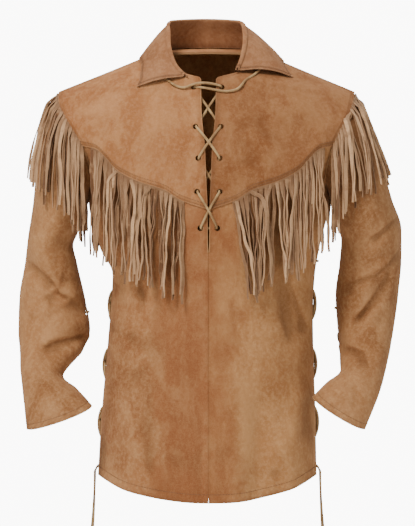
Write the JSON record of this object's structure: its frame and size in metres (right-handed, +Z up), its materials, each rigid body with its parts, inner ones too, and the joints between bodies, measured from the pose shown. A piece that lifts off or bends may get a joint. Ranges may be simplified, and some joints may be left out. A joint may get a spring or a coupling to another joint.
{
  "type": "fringe shirt",
  "caption": "Hollow worn western pull-over shirt in suede, with a turned-down collar, a laced neck slit, a pointed yoke, long fringe and laced side and sleeve seams.",
  "frame": {"origin": "middle of the neck's base, between the two shoulder tops that carry the shirt", "axes": "+Z up, -Y the wearer's front, +X the wearer's left"},
  "size_m": [0.6609, 0.2659, 0.9108],
  "materials": {
    "panel_left": "brushed tan suede, mottled",
    "panel_right": "brushed tan suede, a little redder",
    "yoke": "brushed tan suede",
    "sleeve": "brushed tan suede, creased",
    "fringe": "cut suede strands with pale rough edges",
    "thong": "soft pale leather thong"
  },
  "bodies": {
    "root": {"front_left": "panel_left", "front_right": "panel_right", "back": "panel_left", "yoke_front_left": "yoke", "yoke_front_right": "yoke", "yoke_back": "yoke", "collar": "yoke", "sleeve_left": "sleeve", "sleeve_right": "sleeve", "fringe_front_left": "fringe", "fringe_front_right": "fringe", "fringe_back_left": "fringe", "fringe_back_right": "fringe", "fringe_armhole_left": "fringe", "fringe_armhole_right": "fringe", "lace_front": "thong", "lace_side_left": "thong", "lace_side_right": "thong", "lace_sleeve_left": "thong", "lace_sleeve_right": "thong", "lace_end_long_left": "thong", "lace_end_long_right": "thong", "lace_end_short_left": "thong", "lace_end_short_right": "thong"}
  },
  "joints": []
}
